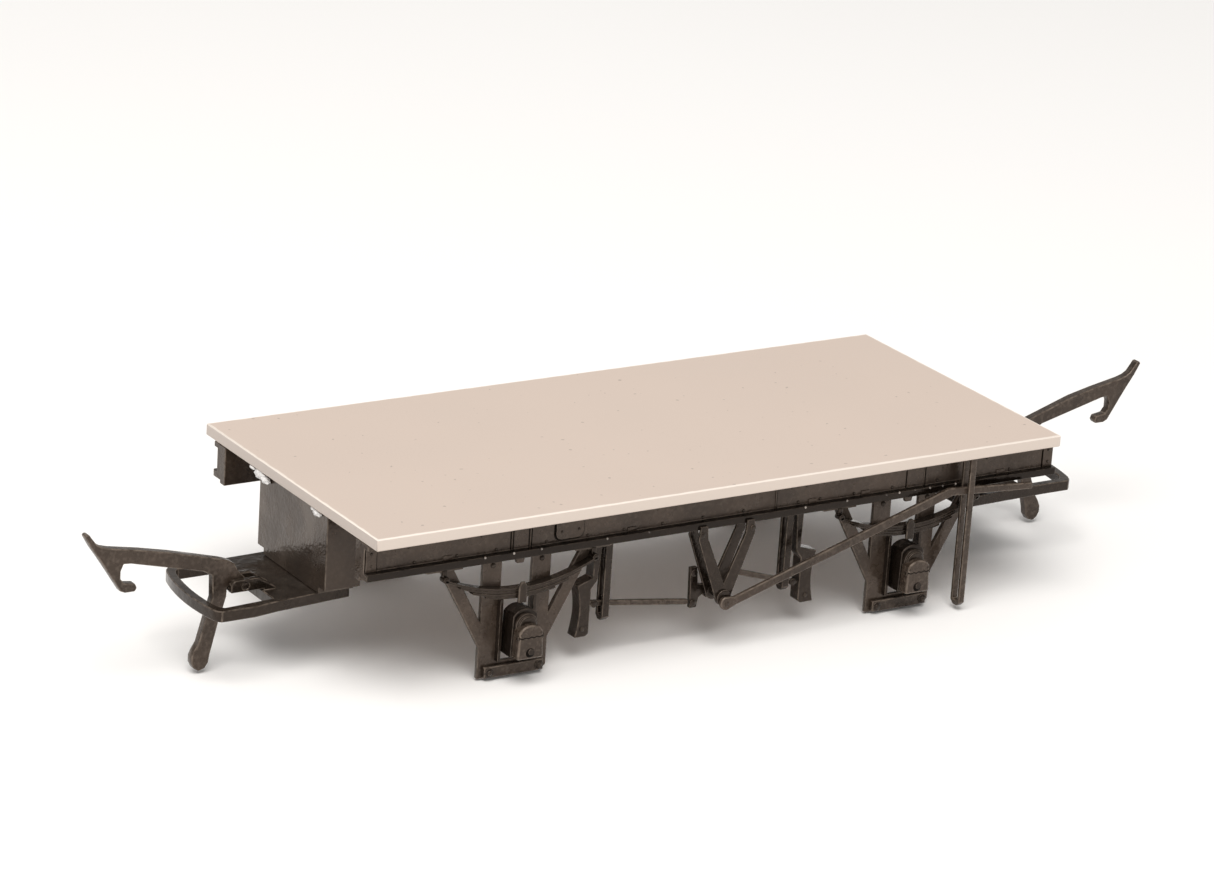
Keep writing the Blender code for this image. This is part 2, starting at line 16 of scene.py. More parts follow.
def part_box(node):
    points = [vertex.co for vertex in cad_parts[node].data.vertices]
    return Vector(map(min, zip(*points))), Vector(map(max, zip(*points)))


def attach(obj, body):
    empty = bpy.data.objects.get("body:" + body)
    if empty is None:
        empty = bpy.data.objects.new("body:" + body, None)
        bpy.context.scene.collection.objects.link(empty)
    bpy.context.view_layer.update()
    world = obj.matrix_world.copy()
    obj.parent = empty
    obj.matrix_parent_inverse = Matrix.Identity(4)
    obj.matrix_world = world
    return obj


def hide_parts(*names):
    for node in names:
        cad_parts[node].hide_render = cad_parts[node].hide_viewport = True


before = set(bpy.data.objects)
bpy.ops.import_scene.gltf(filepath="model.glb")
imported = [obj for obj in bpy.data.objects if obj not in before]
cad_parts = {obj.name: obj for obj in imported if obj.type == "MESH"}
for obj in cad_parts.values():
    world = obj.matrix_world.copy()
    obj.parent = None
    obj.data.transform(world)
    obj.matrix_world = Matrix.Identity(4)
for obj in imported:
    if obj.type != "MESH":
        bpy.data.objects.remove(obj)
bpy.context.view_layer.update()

bl_info = {
    "name": "Model flat car",
    "version": (1, 0, 0),
    "blender": (4, 5, 0),
    "location": "View3D > Sidebar > Flat car",
    "description": "Builds the finished surfaces of a model flat car around its packed parts",
    "category": "Object",
}

MM = 0.001
SIDES = (("near", 1), ("far", -1))
ENDS = ("left", "right")
AXLES = (-20.0, 20.0)
GUARD_FACE = 12.4               # how far out the axleguards' outer faces are
WEB_FACE = 13.25                # and the solebars' webs
FLANGE_LIP = 13.85              # and the lip of their lower flanges
WEB_FOOT = 11.75
WEB_HEAD = 13.8
SEAM_FOOT = 11.72
SEAM_HEAD = 13.75
LUMP_CEILING = 14.36            # just under the floor plate
SPRING_TOP = 8.2
LEAF_REACHES = (7.45, 5.9, 4.7, 3.4, 2.4, 1.6)
LEAF_PITCH = 0.24
LEAF_DEPTH = 0.205
LEAF_STEPS = 18
SPRING_REACH = 7.5
SPRING_CAMBER = 1.75
EYE_PLACE = 7.3
EYE_RISE = 1.62
KEEP_BOLT_PLACE = 2.45
KEEP_BOLT_HEIGHT = 0.62
BRAKE_PIVOT_HEIGHT = 4.6

HIGHLIT_EDGE_SLOT = 1                # material slot that the rounded edges get until they are marked for the painted edge highlight
HEAD_HIGHLIGHT = 0.35                 # how much painted highlight a rivet or bolt head gets
# Painted sheen: greyer colour painted on the floor plate's end faces.
END_FACE_SHEEN_COLOUR = (0.47, 0.42, 0.385)
DUST_COLOUR = (0.17, 0.145, 0.12)
LAMP_COLOUR = (1.0, 0.975, 0.945)
SURROUND_COLOUR = (1.0, 0.985, 0.965, 1.0)

# Looks of the one black plastic. Their colour levels make lit and shaded copies of it. The satin look is the
# lit copy, and the worn and block looks are a little darker. The gloss, deep and recess looks are painted
# shade, each darker than the last, for the lower, hidden and grooved parts. The rub level sets how strong the
# painted edge highlight is, and the block's clouds are painted reflection patches.
BLACK_LOOKS = {
    "black_satin": {"gloss": 1.0, "painted_light_level": 1.2},
    "black_gloss_shaded": {"gloss": 0.62, "painted_light_level": 0.45, "scuffs": 0.12, "shine": 0.34, "rub_and_highlight_level": 0.85},
    "black_worn_highlit": {"gloss": 1.0, "painted_light_level": 0.9, "scuffs": 0.42, "rub_and_highlight_level": 1.05},
    "black_block": {"gloss": 0.7, "painted_light_level": 0.85, "scuffs": 0.12, "painted_reflection_patches": 0.6, "rub_and_highlight_level": 0.75},
    "black_painted_shade": {"gloss": 0.55, "painted_light_level": 0.22, "scuffs": 0.06, "shine": 0.26, "rub_and_highlight_level": 0.4},
    "black_painted_recess_shade": {"gloss": 2.2, "painted_light_level": 0.14, "scuffs": 0.0, "shine": 0.1, "rub_and_highlight_level": 0.0},
}


# --- sizes and colours a user would change -------------------------------------------------

class DeckSettings(bpy.types.PropertyGroup):
    colour: FloatVectorProperty(
        name="Floor colour", description="Beige of the floor plate's plastic", subtype="COLOR",
        size=3, min=0.0, max=1.0, default=(0.598, 0.498, 0.432))
    # Painted light: this colour paints the pale highlight along the floor's top edges and lightens its side
    # faces.
    painted_edge_light_colour: FloatVectorProperty(
        name="Edge colour", description="Paler plastic along the floor's cut edges", subtype="COLOR",
        size=3, min=0.0, max=1.0, default=(0.80, 0.725, 0.655))
    # Width of the painted highlight round the floor's top edges.
    edge_width: FloatProperty(
        name="Pale edge width", description="Width of the pale line round the floor", unit="LENGTH",
        min=0.0, default=0.00024)
    roughness: FloatProperty(
        name="Floor roughness", description="How dull the floor plate is", min=0.0, max=1.0, default=0.55)


class PlasticSettings(bpy.types.PropertyGroup):
    colour: FloatVectorProperty(
        name="Black colour", description="Warm black of the moulded underframe", subtype="COLOR",
        size=3, min=0.0, max=1.0, default=(0.031, 0.0215, 0.0155))
    # Painted highlight: this pale colour is painted on rounded edges and rivet heads as highlights, and on
    # the block as painted reflection patches. The fine random scuffs use it too.
    rub_and_highlight_colour: FloatVectorProperty(
        name="Rubbed colour", description="Paler plastic on rubbed and moulded edges", subtype="COLOR",
        size=3, min=0.0, max=1.0, default=(0.125, 0.099, 0.079))
    roughness: FloatProperty(
        name="Black roughness", description="How dull the underframe's plastic is", min=0.0, max=1.0,
        default=0.27)
    edge: FloatProperty(
        name="Edge radius", description="Rounding of the moulded edges", unit="LENGTH",
        min=0.0, default=0.00007)


class FittingSettings(bpy.types.PropertyGroup):
    rivet_radius: FloatProperty(
        name="Rivet radius", description="Radius of a rivet head on the solebar", unit="LENGTH",
        min=0.0, default=0.00015)
    rivet_height: FloatProperty(
        name="Rivet height", description="How far a rivet head stands out", unit="LENGTH",
        min=0.0, default=0.0001)
    bolt_radius: FloatProperty(
        name="Bolt radius", description="Radius of the larger bolt heads", unit="LENGTH",
        min=0.0, default=0.00024)
    leaves: IntProperty(
        name="Spring leaves", description="Number of leaves in each spring", min=1, max=6, default=4)


class StageSettings(bpy.types.PropertyGroup):
    camera_place: FloatVectorProperty(
        name="Camera place", description="Where the camera stands", subtype="TRANSLATION", unit="LENGTH",
        size=3, default=(-0.21279, -0.32351, 0.15003))
    camera_aim: FloatVectorProperty(
        name="Camera aim", description="The point the camera looks at", subtype="TRANSLATION", unit="LENGTH",
        size=3, default=(0.00672, 0.01468, 0.008))
    camera_roll: FloatProperty(
        name="Camera roll", description="How far the camera leans", unit="ROTATION",
        default=math.radians(3.88))
    lens: FloatProperty(name="Lens", description="Focal length in millimetres", min=10.0, default=137.7)
    key_power: FloatProperty(name="Key light", description="Power of the large soft light in watts",
                             min=0.0, default=6.5)
    side_power: FloatProperty(name="Side light", description="Power of the soft light on the car's end",
                              min=0.0, default=0.85)
    surround: FloatProperty(name="Surround", description="Strength of the pale surroundings",
                            min=0.0, default=0.5)


# --- finishes ------------------------------------------------------------------------------

def link(tree, source, target):
    tree.links.new(source, target)


def start_finish(name, roughness):
    """A new node material with its shader, and the object's own coordinates to hang patterns on."""
    material = bpy.data.materials.new(name)
    material.use_nodes = True
    tree = material.node_tree
    shader = next(n for n in tree.nodes if n.type == "BSDF_PRINCIPLED")
    shader.inputs["Roughness"].default_value = roughness
    place = tree.nodes.new("ShaderNodeTexCoord").outputs["Object"]
    return material, tree, shader, place


def noise(tree, place, scale, detail=3.0, roughness=0.5):
    node = tree.nodes.new("ShaderNodeTexNoise")
    node.inputs["Scale"].default_value = scale
    node.inputs["Detail"].default_value = detail
    node.inputs["Roughness"].default_value = roughness
    link(tree, place, node.inputs["Vector"])
    return node.outputs["Fac"]


def spread(tree, value, low_in, high_in, low_out, high_out):
    node = tree.nodes.new("ShaderNodeMapRange")
    numbers = {"From Min": low_in, "From Max": high_in, "To Min": low_out, "To Max": high_out}
    for socket, number in numbers.items():
        node.inputs[socket].default_value = number
    link(tree, value, node.inputs["Value"])
    return node.outputs["Result"]


def blend(tree, share, first, second):
    """Colour mix; first and second are either sockets or plain colours."""
    node = tree.nodes.new("ShaderNodeMix")
    node.data_type = "RGBA"
    link(tree, share, node.inputs["Factor"])
    for socket, colour in ((node.inputs[6], first), (node.inputs[7], second)):
        if isinstance(colour, bpy.types.NodeSocket):
            link(tree, colour, socket)
        else:
            socket.default_value = (*colour, 1.0)
    return node.outputs[2]


def calculate(tree, operation, first, second):
    node = tree.nodes.new("ShaderNodeMath")
    node.operation = operation
    for socket, value in zip(node.inputs, (first, second)):
        if isinstance(value, bpy.types.NodeSocket):
            link(tree, value, socket)
        else:
            socket.default_value = value
    return node.outputs[0]


def raise_surface(tree, shader, height, strength, distance):
    node = tree.nodes.new("ShaderNodeBump")
    node.inputs["Strength"].default_value = strength
    node.inputs["Distance"].default_value = distance
    link(tree, height, node.inputs["Height"])
    link(tree, node.outputs["Normal"], shader.inputs["Normal"])


def shade_of(colour, share):
    return tuple(c * share for c in colour)


def floor_finish(settings):
    """Smooth beige sheet: slow colour drift, fine specks, a painted highlight along its top edges, painted
    light on its side faces and a painted grey sheen on its end faces.
    """
    material, tree, shader, place = start_finish("beige_sheet", settings.roughness)
    colour = tuple(settings.colour)
    drift = spread(tree, noise(tree, place, 28.0, 2.0), 0.3, 0.7, 0.0, 1.0)
    base = blend(tree, drift, shade_of(colour, 0.972), shade_of(colour, 1.02))
    grain = spread(tree, noise(tree, place, 5200.0, 2.0), 0.35, 0.65, 0.0, 1.0)
    base = blend(tree, grain, base, shade_of(colour, 1.0))
    specks = spread(tree, noise(tree, place, 1500.0, 1.0), 0.745, 0.77, 0.0, 0.75)
    base = blend(tree, specks, base, shade_of(colour, 0.62))
    apart = tree.nodes.new("ShaderNodeSeparateXYZ")
    link(tree, place, apart.inputs[0])
    low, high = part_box("floor_plate")
    middle = (low + high) / 2
    half = (high - low) / 2
    nearest = None
    for axis in (0, 1):
        off = calculate(tree, "ABSOLUTE", calculate(tree, "SUBTRACT", apart.outputs[axis], middle[axis]), 0.0)
        left = calculate(tree, "SUBTRACT", half[axis], off)
        nearest = left if nearest is None else calculate(tree, "MINIMUM", nearest, left)
    # Painted highlight: a pale line along the outer edges of the top face.
    wave = spread(tree, noise(tree, place, 900.0, 3.0), 0.3, 0.7, -0.00005, 0.00005)
    rim_highlight = spread(tree, calculate(tree, "ADD", nearest, wave), settings.edge_width * 0.55,
                 settings.edge_width * 1.1, 1.0, 0.0)
    top = spread(tree, apart.outputs[2], high.z - 0.00012, high.z - 0.00005, 0.0, 1.0)
    base = blend(tree, calculate(tree, "MULTIPLY", rim_highlight, top), base, tuple(settings.painted_edge_light_colour))
    # Painted light: faces turned along Y are lightened with the edge colour, and faces turned along X get the
    # grey end colour, by the way they face.
    facing = tree.nodes.new("ShaderNodeNewGeometry")
    turned_to = tree.nodes.new("ShaderNodeSeparateXYZ")
    link(tree, facing.outputs["Normal"], turned_to.inputs[0])
    for axis, face_light_colour, share in ((1, tuple(settings.painted_edge_light_colour), 0.4), (0, END_FACE_SHEEN_COLOUR, 0.75)):
        on_face = calculate(tree, "ABSOLUTE", turned_to.outputs[axis], 0.0)
        base = blend(tree, spread(tree, on_face, 0.6, 0.8, 0.0, share), base, face_light_colour)
    link(tree, base, shader.inputs["Base Color"])
    dull = spread(tree, noise(tree, place, 120.0, 3.0), 0.3, 0.7, settings.roughness - 0.06,
                  settings.roughness + 0.08)
    link(tree, dull, shader.inputs["Roughness"])
    shader.inputs["Specular IOR Level"].default_value = 0.35
    ripple = calculate(tree, "ADD", calculate(tree, "MULTIPLY", noise(tree, place, 60.0, 2.0), 3.0),
                       calculate(tree, "MULTIPLY", noise(tree, place, 4200.0, 2.0), 0.35))
    raise_surface(tree, shader, ripple, 0.18, 0.00004)
    return material


def black_finish(name, settings, gloss, painted_light_level=1.0, scuffs=0.3, painted_reflection_patches=0.0, shine=0.5, rub_and_highlight_level=0.9):
    """Moulded black plastic: flow marks, a little dust on upper faces, fine scuffs, painted highlights on
    rounded edges and rivet heads, painted reflection patches where asked, uneven gloss.
    """
    rough = settings.roughness * gloss
    material, tree, shader, place = start_finish(name, rough)
    # Painted light and shade: the look's colour level brightens or darkens the same black.
    colour = shade_of(tuple(settings.colour), painted_light_level)
    rub_and_highlight = shade_of(tuple(settings.rub_and_highlight_colour), rub_and_highlight_level)
    flow = spread(tree, noise(tree, place, 210.0, 4.0, 0.6), 0.32, 0.68, 0.0, 1.0)
    base = blend(tree, flow, shade_of(colour, 0.55), shade_of(colour, 1.5))
    # Painted reflection: soft pale patches stand in for the lamps' reflections on the glossy plastic.
    if painted_reflection_patches:
        reflection_patch = spread(tree, noise(tree, place, 260.0, 1.5, 0.4), 0.46, 0.66, 0.0, painted_reflection_patches)
        base = blend(tree, reflection_patch, base, rub_and_highlight)
    fine = spread(tree, noise(tree, place, 2600.0, 3.0), 0.48, 0.74, 0.0, scuffs)
    base = blend(tree, fine, base, rub_and_highlight)
    # Painted highlight: rounded edges and rivet heads are blended towards the pale colour, broken up by
    # noise.
    edge = tree.nodes.new("ShaderNodeAttribute")
    edge.attribute_name = "rub_and_highlight"
    broken = spread(tree, noise(tree, place, 1500.0, 4.0, 0.6), 0.36, 0.6, 0.1, 1.0)
    base = blend(tree, calculate(tree, "MULTIPLY", edge.outputs["Fac"], broken), base, rub_and_highlight)
    facing = tree.nodes.new("ShaderNodeNewGeometry")
    apart = tree.nodes.new("ShaderNodeSeparateXYZ")
    link(tree, facing.outputs["Normal"], apart.inputs[0])
    dust = calculate(tree, "MULTIPLY", spread(tree, apart.outputs[2], 0.55, 1.0, 0.0, 0.1),
                     spread(tree, noise(tree, place, 700.0, 4.0), 0.35, 0.7, 0.1, 1.0))
    base = blend(tree, dust, base, DUST_COLOUR)
    link(tree, base, shader.inputs["Base Color"])
    dull = spread(tree, noise(tree, place, 480.0, 4.0, 0.6), 0.3, 0.7, rough * 0.6, rough * 1.5)
    link(tree, dull, shader.inputs["Roughness"])
    shader.inputs["Specular IOR Level"].default_value = shine
    shader.inputs["Specular Tint"].default_value = (1.0, 0.84, 0.74, 1.0)
    lumps = calculate(tree, "ADD", calculate(tree, "MULTIPLY", noise(tree, place, 340.0, 3.0), 2.2),
                      calculate(tree, "MULTIPLY", noise(tree, place, 3100.0, 3.0), 0.55))
    raise_surface(tree, shader, lumps, 0.42, 0.00012)
    return material


def flash_finish():
    """Pale dried glue and moulding flash, slightly glassy."""
    material, tree, shader, place = start_finish("flash_white", 0.3)
    shade = spread(tree, noise(tree, place, 1900.0, 3.0), 0.3, 0.7, 0.0, 1.0)
    link(tree, blend(tree, shade, (0.60, 0.58, 0.57), (0.86, 0.85, 0.84)), shader.inputs["Base Color"])
    raise_surface(tree, shader, noise(tree, place, 2500.0, 2.0), 0.4, 0.0001)
    return material


def glint_nib_finish():
    """Rivet heads with painted glints: random patches painted pale as highlights."""
    material, tree, shader, place = start_finish("glint_nib", 0.18)
    shade = spread(tree, noise(tree, place, 900.0, 2.0), 0.4, 0.6, 0.0, 1.0)
    link(tree, blend(tree, shade, (0.05, 0.038, 0.03), (0.42, 0.37, 0.33)), shader.inputs["Base Color"])
    shader.inputs["Specular IOR Level"].default_value = 0.8
    raise_surface(tree, shader, noise(tree, place, 5000.0, 2.0), 0.2, 0.00003)
    return material


def finish(name):
    """The named finish, made on first use."""
    found = bpy.data.materials.get(name)
    if found:
        return found
    scene = bpy.context.scene
    if name in BLACK_LOOKS:
        return black_finish(name, scene.flatcar_plastic, **BLACK_LOOKS[name])
    if name == "beige_sheet":
        return floor_finish(scene.flatcar_deck)
    return {"glint_nib": glint_nib_finish, "flash_white": flash_finish}[name]()


# --- shapes --------------------------------------------------------------------------------

def turned(x, y, z, turn):
    return Vector((x * turn, y * turn, z))


def slab(bm, outline, low, high, turn=1, taper=0.0):
    """A plate with its outline in X and Z, from low to high in Y; taper draws its outer face in."""
    middle_x = sum(p[0] for p in outline) / len(outline)
    middle_z = sum(p[1] for p in outline) / len(outline)
    rings = []
    for y, pull in ((high, 0.0), (low, taper)):
        rings.append([
            bm.verts.new(turned(x + (middle_x - x) * pull, y, z + (middle_z - z) * pull, turn))
            for x, z in outline])
    count = len(outline)
    bm.faces.new(rings[0])
    bm.faces.new(rings[1][::-1])
    for i in range(count):
        j = (i + 1) % count
        bm.faces.new((rings[0][j], rings[0][i], rings[1][i], rings[1][j]))


def round_boss(bm, x, z, profile, turn=1, steps=20):
    """A turned boss about a line in Y; profile is (radius, y) from its back to its front."""
    rings = []
    for radius, y in profile:
        rings.append([bm.verts.new(turned(x + radius * math.cos(math.tau * i / steps), y,
                                          z + radius * math.sin(math.tau * i / steps), turn))
                      for i in range(steps)])
    bm.faces.new(rings[0][::-1])
    bm.faces.new(rings[-1])
    for lower, upper in zip(rings, rings[1:]):
        for i in range(steps):
            j = (i + 1) % steps
            bm.faces.new((lower[i], lower[j], upper[j], upper[i]))


def box_outline(low_x, high_x, low_z, high_z, corner=0.0):
    """A rectangle, with its lower corners cut by corner."""
    if not corner:
        return [(low_x, low_z), (high_x, low_z), (high_x, high_z), (low_x, high_z)]
    points = []
    centre_z = low_z + corner
    for centre_x, start in ((low_x + corner, 180), (high_x - corner, 270)):
        for i in range(5):
            angle = math.radians(start + 22.5 * i)
            points.append((centre_x + corner * math.cos(angle), centre_z + corner * math.sin(angle)))
    return points + [(high_x, high_z), (low_x, high_z)]


def line_strip(points, width):
    """A narrow strip that follows a line of points in X and Z."""
    upper = []
    lower = []
    for i, (x, z) in enumerate(points):
        before = Vector(points[max(i - 1, 0)])
        after = Vector(points[min(i + 1, len(points) - 1)])
        along = (after - before).normalized()
        upper.append((x - along.y * width / 2, z + along.x * width / 2))
        lower.append((x + along.y * width / 2, z - along.x * width / 2))
    return lower + upper[::-1]


def packed_form(node):
    """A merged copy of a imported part's mesh, in metres, with flat faces joined up."""
    bm = bmesh.new()
    bm.from_mesh(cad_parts[node].data)
    bmesh.ops.remove_doubles(bm, verts=bm.verts, dist=1e-7)
    bmesh.ops.dissolve_limit(bm, angle_limit=math.radians(0.8), verts=bm.verts, edges=bm.edges)
    return bm


def apply_modifiers(item):
    """Replaces an object's mesh with what its modifiers make of it."""
    view = bpy.context.evaluated_depsgraph_get()
    plain = bpy.data.meshes.new_from_object(item.evaluated_get(view))
    item.modifiers.clear()
    item.data = plain
    return plain


def mark_rub_and_highlight(mesh, shares):
    """Stores how much painted highlight each face gets, from 0 to 1, for the finishes to read."""
    rub_and_highlight = mesh.attributes.new("rub_and_highlight", "FLOAT", "FACE")
    rub_and_highlight.data.foreach_set("value", shares)


def soften(item, edge, segments):
    """Rounds the edges, evens the shading, and marks the rounded faces for the painted edge highlight."""
    item.data.materials.clear()
    for _ in range(HIGHLIT_EDGE_SLOT + 1):
        item.data.materials.append(None)
    if edge > 0.0:
        bevel = item.modifiers.new("edges", "BEVEL")
        bevel.width = edge
        bevel.segments = segments
        bevel.limit_method = "ANGLE"
        bevel.angle_limit = math.radians(38.0)
        bevel.use_clamp_overlap = False
        bevel.material = HIGHLIT_EDGE_SLOT
    even = item.modifiers.new("shading", "WEIGHTED_NORMAL")
    even.keep_sharp = True
    for face in item.data.polygons:
        face.use_smooth = True
    plain = apply_modifiers(item)
    mark_rub_and_highlight(plain, [float(face.material_index == HIGHLIT_EDGE_SLOT) for face in plain.polygons])
    for face in plain.polygons:
        face.material_index = 0
    plain.materials.clear()


def solid_piece(name, bm, look, body="underframe", edge=0.0, stands_for=(),
                in_metres=False, segments=2):
    """Turns a bmesh into a finished piece that moves with its body."""
    if not in_metres:
        bmesh.ops.scale(bm, vec=(MM, MM, MM), verts=bm.verts)
        bmesh.ops.recalc_face_normals(bm, faces=bm.faces)
    mesh = bpy.data.meshes.new(name)
    bm.to_mesh(mesh)
    bm.free()
    item = bpy.data.objects.new(name, mesh)
    bpy.context.scene.collection.objects.link(item)
    soften(item, edge, segments)
    item.data.materials.append(finish(look))
    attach(item, body)
    if stands_for:
        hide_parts(*stands_for)
    return item


def skin(node, look, body="underframe", edge=None, segments=2):
    """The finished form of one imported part, with soft edges."""
    if edge is None:
        edge = bpy.context.scene.flatcar_plastic.edge
    return solid_piece(node + "_skin", packed_form(node), look, body, edge, (node,), True, segments)


# --- rivets and bolts by geometry nodes ----------------------------------------------------

def rivet_tree():
    """Node tree that sets a low round head on every point of the mesh it is given."""
    tree = bpy.data.node_groups.new("rivet_heads", "GeometryNodeTree")
    tree.interface.new_socket("Points", in_out="INPUT", socket_type="NodeSocketGeometry")
    tree.interface.new_socket("Head radius", in_out="INPUT", socket_type="NodeSocketFloat")
    tree.interface.new_socket("Head height", in_out="INPUT", socket_type="NodeSocketFloat")
    tree.interface.new_socket("Finish", in_out="INPUT", socket_type="NodeSocketMaterial")
    tree.interface.new_socket("Heads", in_out="OUTPUT", socket_type="NodeSocketGeometry")
    inside = tree.nodes.new("NodeGroupInput")
    outside = tree.nodes.new("NodeGroupOutput")
    ball = tree.nodes.new("GeometryNodeMeshUVSphere")
    ball.inputs["Segments"].default_value = 12
    ball.inputs["Rings"].default_value = 8
    ball.inputs["Radius"].default_value = 1.0
    size = tree.nodes.new("ShaderNodeCombineXYZ")
    link(tree, inside.outputs["Head radius"], size.inputs["X"])
    link(tree, inside.outputs["Head height"], size.inputs["Y"])
    link(tree, inside.outputs["Head radius"], size.inputs["Z"])
    flatten = tree.nodes.new("GeometryNodeTransform")
    link(tree, ball.outputs["Mesh"], flatten.inputs["Geometry"])
    link(tree, size.outputs["Vector"], flatten.inputs["Scale"])
    smooth = tree.nodes.new("GeometryNodeSetShadeSmooth")
    link(tree, flatten.outputs["Geometry"], smooth.inputs["Geometry"])
    place = tree.nodes.new("GeometryNodeInstanceOnPoints")
    link(tree, inside.outputs["Points"], place.inputs["Points"])
    link(tree, smooth.outputs["Geometry"], place.inputs["Instance"])
    real = tree.nodes.new("GeometryNodeRealizeInstances")
    link(tree, place.outputs["Instances"], real.inputs["Geometry"])
    paint = tree.nodes.new("GeometryNodeSetMaterial")
    link(tree, real.outputs["Geometry"], paint.inputs["Geometry"])
    link(tree, inside.outputs["Finish"], paint.inputs["Material"])
    link(tree, paint.outputs["Geometry"], outside.inputs["Heads"])
    return tree


def heads(name, points, radius, height, look="black_gloss_shaded", body="underframe"):
    """Round heads at points, given in millimetres, as one plain mesh."""
    tree = bpy.data.node_groups.get("rivet_heads") or rivet_tree()
    keys = {s.name: s.identifier for s in tree.interface.items_tree if s.in_out == "INPUT"}
    mesh = bpy.data.meshes.new(name)
    mesh.from_pydata([tuple(c * MM for c in p) for p in points], [], [])
    item = bpy.data.objects.new(name, mesh)
    bpy.context.scene.collection.objects.link(item)
    modifier = item.modifiers.new("heads", "NODES")
    modifier.node_group = tree
    modifier[keys["Head radius"]] = radius
    modifier[keys["Head height"]] = height
    modifier[keys["Finish"]] = finish(look)
    plain = apply_modifiers(item)
    # Painted highlight: each head gets a share of the pale edge colour.
    mark_rub_and_highlight(plain, [HEAD_HIGHLIGHT] * len(plain.polygons))
    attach(item, body)
    return item


def both_sides(points):
    """The near side's points and the same turned half round for the far side."""
    return [(x * turn, y * turn, z) for _, turn in SIDES for x, y, z in points]


def corners():
    """For each axleguard: its side's turn, its axle before the turn, and how its parts' names end."""
    for side, turn in SIDES:
        for axle in AXLES:
            end = "left" if axle * turn < 0 else "right"
            yield turn, axle, side + "_" + end


# --- operators -----------------------------------------------------------------------------

class FLATCAR_OT_floor(bpy.types.Operator):
    """Makes the floor plate and the flash of pale glue under its left edge"""
    bl_idname = "flatcar.floor"
    bl_label = "Floor plate"

    def execute(self, context):
        skin("floor_plate", "beige_sheet", edge=0.00003)
        bm = bmesh.new()
        lumps = ((-35.2, 5.5, 14.0, 0.34, 0.95, 0.4), (-35.2, 4.55, 13.78, 0.28, 0.62, 0.3),
                 (-35.2, -4.7, 14.02, 0.26, 0.6, 0.26), (-35.2, -4.0, 14.16, 0.16, 0.4, 0.14),
                 (-35.42, 6.7, 14.24, 0.1, 0.45, 0.12))
        for x, y, z, reach, long, high in lumps:
            made = bmesh.ops.create_icosphere(bm, subdivisions=3, radius=1.0)
            for vert in made["verts"]:
                lump = 1.0 + 0.28 * math.sin(4.1 * vert.co.x + 7.3 * vert.co.y) * math.cos(5.2 * vert.co.z)
                vert.co = Vector((x + vert.co.x * reach * lump, y + vert.co.y * long * lump,
                                  min(z + vert.co.z * high * lump, LUMP_CEILING)))
        solid_piece("edge_flash", bm, "flash_white")
        return {"FINISHED"}


